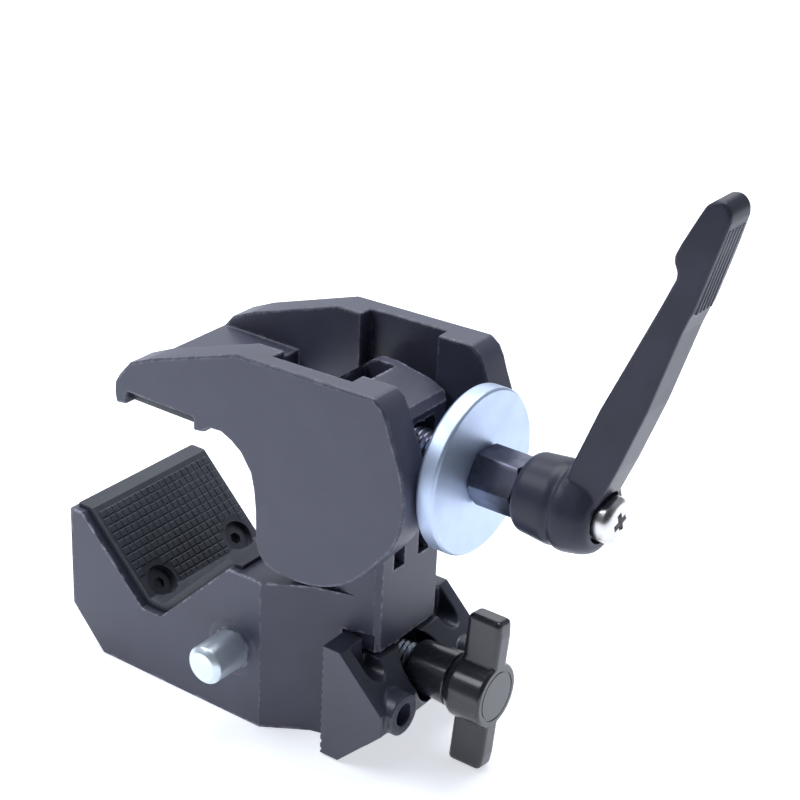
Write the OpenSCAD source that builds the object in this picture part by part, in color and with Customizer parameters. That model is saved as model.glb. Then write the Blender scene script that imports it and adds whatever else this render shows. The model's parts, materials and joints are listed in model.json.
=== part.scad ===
// Super clamp for lighting and grip work.
// A cast V jaw carries a hinged upper jaw, which a ratchet lever and a big thrust
// washer push shut.  A hexagonal socket under the jaw takes a 16 mm stud, held by a
// sprung release pin and a wing screw, and the wedge insert is stored on that screw.
// X runs from the jaw mouth to the lever, Y across the jaws, Z up.
// The origin is on the socket axis, in the plane of the flat base.

/* [Jaws] */
// Width of both jaws
jaw_w = 42; // [36:0.5:48]
// Height of the bottom of the V above the base
v_floor_z = 17; // [12:0.5:22]
// Width of the flat at the bottom of the V
v_floor_w = 5.6; // [3:0.2:10]
// Distance from the socket axis forward to the middle of the V
v_reach = 33.8; // [28:0.2:40]
// Height of the tip of the front arm
front_tip_z = 35.2; // [28:0.2:42]
// Height of the shoulder behind the V
shoulder_z = 37; // [32:0.2:42]
// Thickness of the front arm at its tip
front_tip_w = 3.6; // [2:0.2:6]
// Height of the chamfer under the front arm
chin_h = 10.1; // [6:0.1:14]
// Length of the chamfer under the front arm
chin_l = 9.3; // [6:0.1:14]
// Thickness of the grip pads
pad_t = 2; // [1.5:0.1:3]
// Margin of the grip pads inside the jaw width
pad_margin = 1.8; // [1:0.1:3]
// Height of the upper jaw's casting above its pad seat
upper_floor_t = 4.5; // [3:0.1:6]
// Thickness of the cheeks
cheek_t = 8; // [6:0.1:10]
// Thickness of the cheeks in the lightening pocket
pocket_t = 4.4; // [3:0.1:6]

/* [Hinge and cam] */
// Pivot distance behind the socket axis
pivot_x = 10.7; // [8:0.1:14]
// Pivot height above the base
pivot_z = 55.5; // [50:0.1:60]
// Pivot pin diameter
pivot_d = 8; // [6:0.5:10]
// Advance of the thrust washer for each radian of jaw swing
cam_rise = 12; // [8:0.1:15]
// Distance from the pivot to the washer face with the jaw as drawn
cam_base = 23.5; // [20:0.1:26]
// Largest opening swing from the drawn position
swing_open = 22; // [10:1:26]
// Largest closing swing from the drawn position
swing_close = 40; // [30:1:44]

/* [Column] */
// Rear face of the column behind the socket axis
column_rear = 22.2; // [18:0.1:26]
// Rear face of the socket wall below the overhang
wall_rear = 14.2; // [12:0.1:18]
// Height of the underside of the overhang
overhang_z = 28.3; // [25:0.1:32]
// Height of the top of the tongue
tongue_top = 80.6; // [76:0.1:84]
// Width of the tongue between the cheeks
tongue_w = 24.8; // [20:0.1:26]
// Width of the column's rear face
rear_face_w = 20; // [16:0.1:24]

/* [Stud socket] */
// Socket size across the flats
socket_af = 16.1; // [15.9:0.05:16.5]
// Socket depth
socket_depth = 32; // [26:1:34]
// Height of the release pin and of the wing screw
pin_z = 17.8; // [14:0.1:22]
// Release pin distance in front of the socket axis
pin_x = 9.5; // [8:0.1:11]
// Release pin diameter
pin_d = 9; // [7:0.1:10]
// Length of the release pin outside the casting
pin_proud = 10.4; // [6:0.1:14]
// Travel of the release pin
pin_travel = 4.5; // [3:0.1:5]

/* [Spindle and lever] */
// Height of the spindle axis
spindle_z = 69.1; // [64:0.1:74]
// Spindle thread diameter
spindle_d = 10; // [8:1:12]
// Trunnion nut diameter
trunnion_d = 15; // [13:0.5:18]
// Thrust washer diameter
washer_d = 36; // [30:0.5:40]
// Thrust washer thickness
washer_t = 4.4; // [3:0.1:6]
// Spindle hexagon across the flats
hex_af = 11.5; // [10:0.1:13]
// Lever hub diameter
hub_d = 18.6; // [17:0.1:22]
// Height of the lever tip above the base
lever_tip_z = 140; // [120:0.1:150]
// Lever arm width
lever_w = 9.6; // [7:0.1:12]
// Number of ratchet teeth
ratchet_teeth = 24; // [12:12:36]

/* [Wing screw] */
// Wing screw diameter
wing_screw_d = 8; // [6:1:10]
// Length of the wing across both blades
wing_span = 35.2; // [30:0.1:40]
// Wing width along the screw
wing_w = 8.5; // [7:0.1:12]
// Wing thickness
wing_t = 5.2; // [4:0.1:7]
// Lean of the wing from upright
wing_lean = 8; // [0:1:20]

/* [Wedge insert] */
// Height of the wedge's ribbed face
wedge_h = 27.4; // [24:0.1:30]
// Depth of the wedge
wedge_depth = 16.1; // [12:0.1:20]
// Wedge width
wedge_w = 39.6; // [36:0.1:40]
// Pitch of the ribs on the wedge face
rib_pitch = 2.1; // [1.6:0.1:4]

/* [Preview] */
// Sub-part to draw

/* [Hidden] */
$fn = 96;
eps = 0.01;
over = 1;
right_angle = 90;
half_turn = 180;
full_turn = 360;
run_gap = 0.06;
face_gap = 0.3;

// Lower jaw
half_w = jaw_w / 2;
v_left = -v_reach - v_floor_w / 2;
v_right = -v_reach + v_floor_w / 2;
front_rise = front_tip_z - v_floor_z;
rear_rise = shoulder_z - v_floor_z;
front_in_x = v_left - front_rise;
front_face_x = front_in_x - front_tip_w;
shoulder_x = v_right + rear_rise;
side_end_x = -2;
column_bend_x = 7.6;
column_bend_w = 29.8;
corner_cut = 1.2;
pad_w = jaw_w - 2 * pad_margin;
pad_lip = 1;
pad_lip_l = 2.6;

// Column and tongue
tongue_front = 0;
tongue_front_r = 5;
tongue_rear_r = 1.6;
tongue_rear_drop = 2.4;
tongue_crown_x = 8;
tongue_core_x0 = 1.2;
tongue_core_x1 = 8.8;
tongue_core_w = 19.6;
tongue_core_z = 74;
spindle_room_d = 12;
slot_low = 42.6;
slot_high = 75;
slot_deep = 7;
slot_in = 2.5;
slot_out = 6.3;
column_low_z = 24;
column_low_w = 21.8;
pin_bore_gap = 0.1;
collar_d = 10.6;
collar_t = 2;
collar_y = 8.2;
plug_bore_d = 11;
plug_y = 17.4;
plug_t = 3.2;
plug_key_af = 4;
plug_key_t = 2;
boss_d = 14.6;
boss_top_d = 11.2;
boss_t = 0.6;

// Pad screws
screw_head_d = 7;
screw_shank_d = 3.6;
screw_head_t = 1.7;
screw_len = 8;
lower_screw_y = 13.5;
lower_screw_x = -37.3;
lower_screw_z = 20.5;
arm_slope = 45;
screw_sink = 0.35;
deep_sink = 1.3;
pad_hole_d = 7.8;
pad_hole_t = 1.2;
drive_d = 2.6;
drive_sides = 6;

// Upper jaw
seat_z = 70.2;
upper_pad_z = seat_z - pad_t - 0.2;
lip_z = 67.2;
nose_x = -43.6;
nose_low_z = 66.8;
floor_end_x = -19.8;
lip_rear_x = -21;
lip_front_x = -40.2;
channel_w = jaw_w - 2 * cheek_t;
pocket_w = jaw_w - 2 * pocket_t;
pocket_x0 = -2.7;
pocket_x1 = 17.2;
pocket_z = 67;
floor_top_z = seat_z + upper_floor_t;
blind_t = 3.6;
cam_step = 2;
cam_trim = 0.25;
upper_screw_x = -30.6;
upper_screw_y = 9;
upper_screw_len = 4.6;

// Thrust washer, spindle and lever, measured along X
washer_x = pivot_x + cam_base + face_gap;
washer_back = washer_x + washer_t;
spindle_tip = 2.2;
hex_end = 49.6;
gear_end = hex_end + 4.6;
gear_tip_d = 12.4;
gear_root_d = 10.6;
gear_slack = 0.35;
gear_room_d = 13.6;
neck_d = 7;
neck_end = 67.2;
head_d = 9.9;
head_t = 3.8;
head_round = 0.8;
head_shank_d = 5;
head_shank_l = 9;
cross_w = 1.2;
cross_l = 5.6;
cross_t = 2.2;
hub_front = hex_end + face_gap;
hub_front_d = 16.6;
hub_round = 1.1;
hub_teeth_l = 4;
web_x = 55.2;
web_back = 58.2;
hub_back = 67.4;
hub_back_d = 17.2;
hub_rim_d = 13.4;
hub_rim_l = 1.9;
hub_step_l = 9.1;
hub_step_w = 0.5;
hub_step_t = 0.35;
counterbore_d = 11.3;
web_bore_gap = 0.08;
seat_t = 1;
seat_d = 10.8;
spring_wire = 0.9;
lever_spring_d = 9.1;
lever_lift = 4.7;
lever_root_front = 59.4;
lever_root_back = 68;
lever_root_z = 74;

// Lever arm outline, offsets from the hub to the tip
arm_front_low = [61.6, 82.2];
arm_front_mid = [66.4, 93.6];
arm_neck = [79.2, 124.2];
arm_bulge = [78.3, 127.4];
arm_front_high = [82.6, 137.4];
arm_tip_front = [84.2, lever_tip_z - 0.8];
arm_tip_top = [87.4, lever_tip_z];
arm_tip_back = [88.8, lever_tip_z - 2.4];
arm_back_high = [86.9, 130.6];
arm_back_step = [82.9, 116.8];
arm_back_low = [76.2, 95.8];
arm_back_foot = [71.2, 82];

// Wing screw, measured along X
wing_tip = 8.2;
sleeve_x = 25.2;
sleeve_l = 10.6;
sleeve_d = 12.4;
sleeve_front_d = 11;
wing_hub_d = 14.8;
wing_hub_front_d = 12.6;
wing_hub_taper_l = 2;
wing_x = 37.5;
screw_in_wing = 6;

// Wedge
wedge_x = wall_rear + 0.3;
wedge_top = overhang_z - 0.6;
wedge_flat = 4.8;
wedge_tip_h = 5.1;
wedge_y = -0.6;
wedge_step_z = 23.6;
wedge_step_w = 23.6;
wedge_hole_d = 9.9;
wedge_sleeve_d = 13.8;
wedge_sleeve_x = 20.4;
pocket_y = 13.8;
pocket_d = 5.4;
pocket_low_z = 20.6;
peg_y = 13.4;
peg_z = 14.4;
peg_boss_d = 9.6;
peg_boss_end = 32;
peg_d = 5.2;
peg_floor_x = 19.5;
peg_recess = 2.6;
rib_depth = 0.6;

// Extrudes a side outline, drawn as [x, z], across Y
module across(w)
{
    rotate([right_angle, 0, 0])
        linear_extrude(height = w, center = true)
            children();
}

// Extrudes a side outline from one Y to another
module across_from(y0, y1)
{
    translate([0, y1, 0])
        rotate([right_angle, 0, 0])
            linear_extrude(height = y1 - y0)
                children();
}

// Round bar along X
module bar_x(x0, x1, d, z = 0, y = 0)
{
    translate([x0, y, z])
        rotate([0, right_angle, 0])
            cylinder(d = d, h = x1 - x0);
}

// Round bar along Y
module bar_y(y0, y1, d, x = 0, z = 0)
{
    translate([x, y0, z])
        rotate([-right_angle, 0, 0])
            cylinder(d = d, h = y1 - y0);
}

// Hexagonal prism along Z, flats facing X
module hex_z(af, h)
{
    rotate([0, 0, right_angle / 3])
        cylinder(d = af / cos(half_turn / drive_sides), h = h, $fn = drive_sides);
}

// Countersunk screw standing on its point, head top at z = 0
module countersunk(len)
{
    difference()
    {
        union()
        {
            translate([0, 0, -screw_head_t])
                cylinder(d1 = screw_shank_d, d2 = screw_head_d, h = screw_head_t);
            translate([0, 0, -len])
                cylinder(d = screw_shank_d, h = len - screw_head_t + eps);
        }
        translate([0, 0, -screw_head_t / 2])
            hex_z(drive_d, screw_head_t);
    }
}

// Space a countersunk screw needs in a pad or casting
module countersunk_space(len)
{
    translate([0, 0, -screw_head_t - run_gap])
        cylinder(d1 = screw_shank_d + 2 * run_gap, d2 = screw_head_d + 2 * run_gap,
                 h = screw_head_t + run_gap);
    translate([0, 0, -eps])
        cylinder(d = screw_head_d + 2 * run_gap, h = over + pad_t);
    translate([0, 0, -len - run_gap])
        cylinder(d = screw_shank_d, h = len);
}

// Puts a child at both lower pad screws, square to the front arm
module at_lower_screws()
{
    for (side = [-1, 1])
        translate([lower_screw_x, side * lower_screw_y, lower_screw_z])
            rotate([0, arm_slope, 0])
                translate([0, 0, -deep_sink])
                    children();
}

// Puts a child at both upper pad screws, pointing up into the jaw
module at_upper_screws()
{
    for (side = [-1, 1])
        translate([upper_screw_x, side * upper_screw_y, upper_pad_z + screw_sink])
            rotate([half_turn, 0, 0])
                children();
}

// Side outline of the fixed jaw
module jaw_outline()
{
    polygon([
        [front_face_x + chin_l, 0],
        [side_end_x, 0],
        [side_end_x, shoulder_z],
        [shoulder_x, shoulder_z],
        [v_right, v_floor_z],
        [v_left, v_floor_z],
        [front_in_x, front_tip_z],
        [front_face_x, front_tip_z],
        [front_face_x, chin_h]
    ]);
}

// Plan of the column behind the jaw
module column_plan()
{
    polygon([
        [side_end_x - eps, -half_w],
        [column_bend_x, -column_bend_w / 2],
        [column_rear - corner_cut, -rear_face_w / 2 - corner_cut],
        [column_rear, -rear_face_w / 2],
        [column_rear, rear_face_w / 2],
        [column_rear - corner_cut, rear_face_w / 2 + corner_cut],
        [column_bend_x, column_bend_w / 2],
        [side_end_x - eps, half_w]
    ]);
}

// Side outline of the tongue that stands between the cheeks
module tongue_outline()
{
    rear_z = tongue_top - tongue_rear_drop;
    difference()
    {
        union()
        {
            translate([tongue_front, shoulder_z - over])
                square([column_rear - tongue_front, tongue_top - tongue_front_r - shoulder_z + over]);
            translate([tongue_front + tongue_front_r, tongue_top - tongue_front_r])
                circle(r = tongue_front_r);
            translate([tongue_front + tongue_front_r, tongue_top - tongue_front_r - eps])
                square([column_rear - tongue_front - tongue_front_r, tongue_front_r + eps]);
        }
        // top that falls gently to the rear edge
        polygon([
            [tongue_crown_x, tongue_top],
            [column_rear - tongue_rear_r, rear_z],
            [column_rear, rear_z - tongue_rear_r],
            [column_rear + over, rear_z - tongue_rear_r],
            [column_rear + over, tongue_top + over],
            [tongue_crown_x, tongue_top + over]
        ]);
    }
}

// Fixed jaw, column and tongue, one casting
module jaw_body()
{
    color("#3a3d47")
    difference()
    {
        union()
        {
            across(jaw_w)
                jaw_outline();
            linear_extrude(height = shoulder_z)
                column_plan();
            intersection()
            {
                across(tongue_w)
                    tongue_outline();
                linear_extrude(height = tongue_top + over)
                    union()
                    {
                        column_plan();
                        translate([tongue_front, -tongue_w / 2])
                            square([column_bend_x - tongue_front, tongue_w]);
                    }
            }
            // low swell round the release pin
            translate([-pin_x, -half_w, pin_z])
                rotate([right_angle, 0, 0])
                    cylinder(d1 = boss_d, d2 = boss_top_d, h = boss_t);
        }
        // seat of the wedge insert; the column reaches lower between its ears
        translate([wall_rear, -half_w, -over])
            cube([column_rear, jaw_w, column_low_z + over]);
        for (side = [-1, 1])
            translate([wall_rear, side > 0 ? column_low_w / 2 : -half_w, -over])
                cube([column_rear, half_w - column_low_w / 2, overhang_z + over]);
        // stud socket
        translate([0, 0, -over])
            hex_z(socket_af, socket_depth + over);
        // release pin bore and the spring chamber
        bar_y(-half_w - boss_t - over, half_w, pin_d + 2 * pin_bore_gap, -pin_x, pin_z);
        bar_y(collar_y - 0.2, half_w + over, plug_bore_d, -pin_x, pin_z);
        // wing screw
        bar_x(0, column_rear, wing_screw_d + 2 * run_gap, pin_z);
        // pivot pin, trunnion nut and spindle
        bar_y(-half_w, half_w, pivot_d, pivot_x, pivot_z);
        bar_y(-half_w, half_w, trunnion_d + 2 * run_gap, pivot_x - over, spindle_z);
        bar_x(tongue_front - over, column_rear + over, spindle_room_d, spindle_z);
        // core in the top of the tongue
        translate([tongue_core_x0, -tongue_core_w / 2, tongue_core_z])
            cube([tongue_core_x1 - tongue_core_x0, tongue_core_w, tongue_top]);
        // two cored slots below the spindle with a web between them
        for (slot_y = [-slot_out, slot_in])
            translate([column_rear - slot_deep, slot_y, slot_low])
                cube([slot_deep + over, slot_out - slot_in, slot_high - slot_low]);
        at_lower_screws()
            countersunk_space(screw_len);
    }
}

// Side outline of the lower grip pad
module lower_pad_outline()
{
    run = pad_t * (sqrt(2) - 1);
    polygon([
        [v_left, v_floor_z],
        [v_right, v_floor_z],
        [shoulder_x, shoulder_z],
        [shoulder_x + pad_lip_l, shoulder_z],
        [shoulder_x + pad_lip_l, shoulder_z + pad_lip],
        [shoulder_x - pad_t * sqrt(2) + pad_lip, shoulder_z + pad_lip],
        [v_right - run, v_floor_z + pad_t],
        [v_left + run, v_floor_z + pad_t],
        [front_in_x + pad_t * sqrt(2) - pad_lip, front_tip_z + pad_lip],
        [front_in_x - pad_lip_l, front_tip_z + pad_lip],
        [front_in_x - pad_lip_l, front_tip_z],
        [front_in_x, front_tip_z]
    ]);
}

// V-shaped grip pad screwed into the fixed jaw
module lower_pad()
{
    color("#202223")
    difference()
    {
        across(pad_w)
            lower_pad_outline();
        at_lower_screws()
        {
            countersunk_space(screw_len);
            translate([0, 0, deep_sink - pad_hole_t])
                cylinder(d = pad_hole_d, h = pad_hole_t + over);
        }
    }
}

// Two countersunk screws of the lower pad
module lower_pad_screws()
{
    color("#55585c")
    at_lower_screws()
        countersunk(screw_len);
}

// Hinge pin pressed through the tongue, blind in the near cheek
module pivot_pin()
{
    color("#8a8d90")
    bar_y(-half_w + blind_t + face_gap, half_w - face_gap, pivot_d - 0.04, pivot_x, pivot_z);
}

// Cross nut the spindle screws into
module trunnion_nut()
{
    color("#75787b")
    difference()
    {
        bar_y(-tongue_w / 2 + face_gap, tongue_w / 2 - face_gap, trunnion_d,
              pivot_x - over, spindle_z);
        bar_x(0, column_rear, spindle_d + 2 * run_gap, spindle_z);
    }
}

// Coil drawn as stacked rings, axis along Z from z = 0
module rings(count, len, d, wire)
{
    for (i = [0 : count - 1])
        translate([0, 0, wire / 2 + i * (len - wire) / (count - 1)])
            rotate_extrude()
                translate([d / 2, 0])
                    circle(d = wire, $fn = 24);
    for (side = [-1, 1])
        translate([side * d / 2, 0, wire / 2])
            cylinder(d = wire, h = len - wire, $fn = 24);
}

// Return spring of the release pin
module pin_spring()
{
    spring_start = collar_y + collar_t;
    color("#9a9da0")
    translate([-pin_x, spring_start, pin_z])
        rotate([-right_angle, 0, 0])
            rings(4, plug_y - spring_start, 8.4, 0.7);
}

// Grub plug that closes the spring chamber
module pin_plug()
{
    color("#55585c")
    difference()
    {
        bar_y(plug_y, plug_y + plug_t, plug_bore_d - 0.02, -pin_x, pin_z);
        translate([-pin_x, plug_y + plug_t + eps, pin_z])
            rotate([right_angle, 0, 0])
                hex_z(plug_key_af, plug_key_t);
    }
}

// Sprung pin that bites the stud's groove; pushed in, its waist frees the stud
module release_pin()
{
    tip_y = -half_w - pin_proud;
    dome = 0.8;
    waist_y = -pin_travel;
    waist_len = 13;
    waist_d = 3.4;
    color("#c3c7cc")
    difference()
    {
        union()
        {
            bar_y(tip_y + dome, collar_y, pin_d, -pin_x, pin_z);
            translate([-pin_x, tip_y, pin_z])
                rotate([-right_angle, 0, 0])
                    cylinder(d1 = pin_d - 2 * dome, d2 = pin_d, h = dome);
            bar_y(collar_y, collar_y + collar_t, collar_d, -pin_x, pin_z);
        }
        // flat that lines up with the socket when the pin is pushed in
        translate([-pin_x + waist_d / 2 - 1.3, waist_y - waist_len - 1.5, pin_z - pin_d])
            cube([pin_d, waist_len, 2 * pin_d]);
    }
}

// Distance from the pivot to the cam tangent square to direction a
function cam_reach(a) = cam_base + cam_rise * a * PI / half_turn;

// Cam point whose tangent is square to direction a
function cam_point(a) = [
    pivot_x + cam_reach(a) * cos(a) - cam_rise * sin(a),
    pivot_z + cam_reach(a) * sin(a) + cam_rise * cos(a)
];

// Side outline of the hinged jaw, cam edge to the rear
module upper_outline()
{
    cam_edge = [for (a = [-swing_close : cam_step : swing_open]) cam_point(a)];
    polygon(concat(
        cam_edge,
        [
            [30.2, 82.2], [29.1, 85.4], [27.9, 87.6], [25.7, 89.2],
            [-9.4, 88.2], [-32.9, 80.2], [-39.1, 77.4], [-42.1, 73.9],
            [-43.5, 71.6], [nose_x, 69.1], [-43.2, nose_low_z],
            [lip_front_x, lip_z], [lip_front_x, seat_z],
            [lip_rear_x, seat_z], [lip_rear_x, lip_z], [-18.1, lip_z + 0.4],
            [-16.2, 69.1], [-13.4, 69.3], [-10.6, 68.1], [-7.9, 66.2],
            [-5.2, 62.4], [-4.3, 58.7], [-3.8, 54.1], [-3.6, 46.9],
            [-3.1, 44.7], [-2.3, 43.2], [-0.8, 41.9], [1.9, 41],
            [7.4, 40.8], [11.4, 41.3], [14, 42], [16.6, 43], [19.2, 44.3],
            [21.7, 46], [24.2, 48.3], [26.5, 50.9]
        ]
    ));
}

// Hinged jaw: two cheeks joined by the floor above the upper pad
module upper_jaw()
{
    far_x = 60;
    far_z = 120;
    color("#3a3d47")
    difference()
    {
        across(jaw_w)
            upper_outline();
        // open channel between the cheeks
        translate([floor_end_x, -channel_w / 2, 0])
            cube([far_x, channel_w, far_z]);
        translate([nose_x - over, -channel_w / 2, floor_top_z])
            cube([far_x, channel_w, far_z]);
        // lightening pockets inside the cheeks
        translate([pocket_x0, -pocket_w / 2, pocket_z])
            cube([pocket_x1 - pocket_x0, pocket_w, far_z]);
        // hinge bore, blind in the near cheek
        bar_y(-half_w + blind_t, half_w + over, pivot_d + 2 * run_gap, pivot_x, pivot_z);
        at_upper_screws()
            countersunk_space(upper_screw_len);
    }
}

// Flat grip pad under the hinged jaw
module upper_pad()
{
    color("#202223")
    difference()
    {
        translate([lip_front_x + 0.1, -pad_w / 2, upper_pad_z])
            cube([lip_rear_x - lip_front_x - 0.2, pad_w, seat_z - upper_pad_z]);
        at_upper_screws()
            countersunk_space(upper_screw_len);
    }
}

// Two countersunk screws of the upper pad
module upper_pad_screws()
{
    color("#55585c")
    at_upper_screws()
        countersunk(upper_screw_len);
}

// Big washer that pushes on the cams
module thrust_washer()
{
    color("#d0d3d6")
    difference()
    {
        bar_x(washer_x, washer_back, washer_d, spindle_z);
        bar_x(washer_x - over, washer_back + over, spindle_d + 0.2, spindle_z);
    }
}

// Threaded spindle with the hexagon behind the washer and a neck for the lever
module spindle()
{
    color("#4a4c50")
    difference()
    {
        union()
        {
            bar_x(spindle_tip, washer_back + eps, spindle_d, spindle_z);
            translate([washer_back, 0, spindle_z])
                rotate([0, right_angle, 0])
                    hex_z(hex_af, hex_end - washer_back);
            bar_x(hex_end - eps, neck_end, neck_d, spindle_z);
        }
        bar_x(neck_end - head_shank_l - 0.5, neck_end + over, head_shank_d, spindle_z);
    }
}

// Plan of the ratchet teeth
function tooth_point(i, tip, root) =
    let (n = ratchet_teeth * 4,
         a = (i - 0.5) * full_turn / n,
         r = (i % 4 == 0 || i % 4 == 1) ? tip / 2 : root / 2)
    [r * cos(a), r * sin(a)];

module tooth_plan(tip, root)
{
    polygon([for (i = [0 : ratchet_teeth * 4 - 1]) tooth_point(i, tip, root)]);
}

// Toothed ring pressed on the spindle neck
module ratchet_gear()
{
    color("#6b6e72")
    translate([hex_end, 0, spindle_z])
        rotate([0, right_angle, 0])
            linear_extrude(height = gear_end - hex_end)
                difference()
                {
                    tooth_plan(gear_tip_d, gear_root_d);
                    circle(d = neck_d);
                }
}

// Cross-recess pan screw that keeps the lever on
module lever_screw()
{
    color("#cfd2d5")
    difference()
    {
        union()
        {
            bar_x(neck_end - head_shank_l, neck_end + eps, head_shank_d, spindle_z);
            bar_x(neck_end, neck_end + head_t - head_round, head_d, spindle_z);
            translate([neck_end + head_t - head_round - eps, 0, spindle_z])
                rotate([0, right_angle, 0])
                    cylinder(d1 = head_d, d2 = head_d - 2 * head_round, h = head_round + eps);
        }
        for (turn = [0, right_angle])
            translate([neck_end + head_t - cross_t, 0, spindle_z])
                rotate([turn, 0, 0])
                    translate([0, -cross_w / 2, -cross_l / 2])
                        cube([cross_t + over, cross_w, cross_l]);
    }
}

// Spring that holds the lever on its teeth
module lever_spring()
{
    spring_start = web_back + seat_t;
    color("#9a9da0")
    translate([spring_start, 0, spindle_z])
        rotate([0, right_angle, 0])
            rings(4, neck_end - spring_start, lever_spring_d, spring_wire);
}

// Loose ring between the spring and the hub's web
module spring_seat()
{
    color("#8a8d90")
    difference()
    {
        bar_x(web_back, web_back + seat_t, seat_d, spindle_z);
        bar_x(web_back - over, web_back + seat_t + over, neck_d + 0.4, spindle_z);
    }
}

// Side outline of the lever arm
module arm_outline()
{
    polygon([
        [lever_root_front, lever_root_z],
        arm_front_low, arm_front_mid, arm_neck, arm_bulge, arm_front_high, arm_tip_front, arm_tip_top,
        arm_tip_back, arm_back_high, arm_back_step, arm_back_low, arm_back_foot,
        [lever_root_back, lever_root_z]
    ]);
}

// Half section of the lever hub, radius across and length up
module hub_profile()
{
    hub_l = hub_back - hub_front;
    polygon([
        [0, 0],
        [hub_front_d / 2 - hub_round, 0],
        [hub_front_d / 2, hub_round],
        [hub_d / 2 - hub_step_t, hub_step_l],
        [hub_d / 2 - 2 * hub_step_t, hub_step_l],
        [hub_d / 2 - 2 * hub_step_t, hub_step_l + hub_step_w],
        [hub_d / 2, hub_step_l + 2 * hub_step_w],
        [hub_back_d / 2, hub_l - hub_rim_l],
        [hub_rim_d / 2, hub_l],
        [0, hub_l]
    ]);
}

// Lever handle: hub with internal teeth and a leaning arm
module lever()
{
    color("#1d1e21")
    difference()
    {
        union()
        {
            translate([hub_front, 0, spindle_z])
                rotate([0, right_angle, 0])
                    rotate_extrude()
                        hub_profile();
            across(lever_w)
                arm_outline();
        }
        // internal teeth, clear of the ratchet ring behind them
        translate([hub_front - over, 0, spindle_z])
            rotate([0, right_angle, 0])
                linear_extrude(height = hub_teeth_l + 2 * over)
                    tooth_plan(gear_tip_d + 2 * gear_slack, gear_root_d + 2 * gear_slack);
        bar_x(hub_front + hub_teeth_l, web_x, gear_room_d, spindle_z);
        // neck bore through the web and the counterbore for spring and screw
        bar_x(web_x - over, hub_back, neck_d + 2 * web_bore_gap, spindle_z);
        bar_x(web_back, lever_root_back + over, counterbore_d, spindle_z);
    }
}

// Side outline of the wedge insert
module wedge_outline(cut = 0)
{
    polygon([
        [wedge_x, wedge_top],
        [wedge_x + wedge_flat, wedge_top],
        [wedge_x + wedge_depth, wedge_top - wedge_depth + wedge_flat],
        [wedge_x + wedge_depth, wedge_top - wedge_depth + wedge_flat - wedge_tip_h],
        [wedge_x + wedge_flat, wedge_top - wedge_h],
        [wedge_x, wedge_top - wedge_h]
    ]);
}

// Puts a child on both peg bosses of the wedge
module at_pegs()
{
    for (side = [-1, 1])
        translate([0, wedge_y + side * peg_y, 0])
            children();
}

// Ribbed wedge for clamping flat plates, stored behind the socket wall
module wedge_insert()
{
    color("#2a2b2e")
    difference()
    {
        union()
        {
            translate([0, wedge_y, 0])
                across(wedge_w)
                    wedge_outline();
            at_pegs()
                bar_x(wedge_x + over, peg_boss_end, peg_boss_d, peg_z);
        }
        // lower step between the ears
        translate([wedge_x - over, wedge_y - wedge_step_w / 2, wedge_step_z])
            cube([wedge_depth + 2 * over, wedge_step_w, wedge_top]);
        // clearance for the wing screw and for its sleeve
        bar_x(wedge_x - over, wedge_x + wedge_depth, wedge_hole_d, pin_z, wedge_y);
        bar_x(wedge_sleeve_x, wedge_x + wedge_depth + over, wedge_sleeve_d, pin_z, wedge_y);
        // pockets inside the ears
        for (side = [-1, 1])
        {
            bar_x(wedge_x + wedge_flat, peg_boss_end, pocket_d,
                  pocket_low_z + pocket_d / 2, wedge_y + side * pocket_y);
            translate([wedge_x + wedge_flat, wedge_y + side * pocket_y - pocket_d / 2,
                       pocket_low_z + pocket_d / 2])
                cube([wedge_depth, pocket_d, wedge_top]);
        }
        at_pegs()
            bar_x(peg_floor_x, peg_boss_end + over, peg_d, peg_z);
        // grooves across the working face
        for (z = [rib_pitch / 2 : rib_pitch : wedge_h - rib_pitch / 2])
            translate([wedge_x - rib_depth, wedge_y - wedge_w / 2 - over, wedge_top - z])
                rotate([0, arm_slope, 0])
                    cube([rib_depth * sqrt(2), wedge_w + 2 * over, rib_depth * sqrt(2)]);
    }
}

// Two steel pegs in the wedge, which locate it in the V jaw
module wedge_pegs()
{
    color("#8a8d90")
    at_pegs()
        bar_x(peg_floor_x, peg_boss_end - peg_recess, peg_d - 0.02, peg_z);
}

// Plain sleeve in front of the wing
module wing_sleeve()
{
    color("#26272a")
    difference()
    {
        translate([sleeve_x, 0, pin_z])
            rotate([0, right_angle, 0])
                cylinder(d1 = sleeve_front_d, d2 = sleeve_d, h = sleeve_l);
        bar_x(sleeve_x - over, sleeve_x + sleeve_l + over, wing_screw_d + 2 * run_gap, pin_z);
    }
}

// Screw that locks the stud
module wing_screw()
{
    color("#a7aaad")
    bar_x(wing_tip, wing_x + screw_in_wing, wing_screw_d, pin_z);
}

// Moulded wing with its hub
module wing_handle()
{
    hub_x = sleeve_x + sleeve_l + 0.2;
    blade = wing_span - wing_t;
    color("#1d1e21")
    difference()
    {
        union()
        {
            translate([hub_x, 0, pin_z])
                rotate([0, right_angle, 0])
                    cylinder(d1 = wing_hub_front_d, d2 = wing_hub_d, h = wing_hub_taper_l);
            bar_x(hub_x + wing_hub_taper_l - eps, wing_x + wing_w, wing_hub_d, pin_z);
            translate([wing_x, 0, pin_z])
                rotate([-wing_lean, 0, 0])
                    translate([0, -wing_t / 2, -blade / 2])
                        cube([wing_w, wing_t, blade]);
            for (side = [-1, 1])
                translate([wing_x, 0, pin_z])
                    rotate([-wing_lean, 0, 0])
                        bar_x(0, wing_w, wing_t, side * blade / 2);
        }
        bar_x(hub_x - over, wing_x + screw_in_wing, wing_screw_d, pin_z);
    }
}

jaw_body();
lower_pad();
lower_pad_screws();
pivot_pin();
trunnion_nut();
pin_spring();
pin_plug();
release_pin();
upper_jaw();
upper_pad();
upper_pad_screws();
thrust_washer();
spindle();
ratchet_gear();
lever_screw();
lever_spring();
spring_seat();
lever();
wedge_insert();
wedge_pegs();
wing_sleeve();
wing_screw();
wing_handle();
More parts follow.
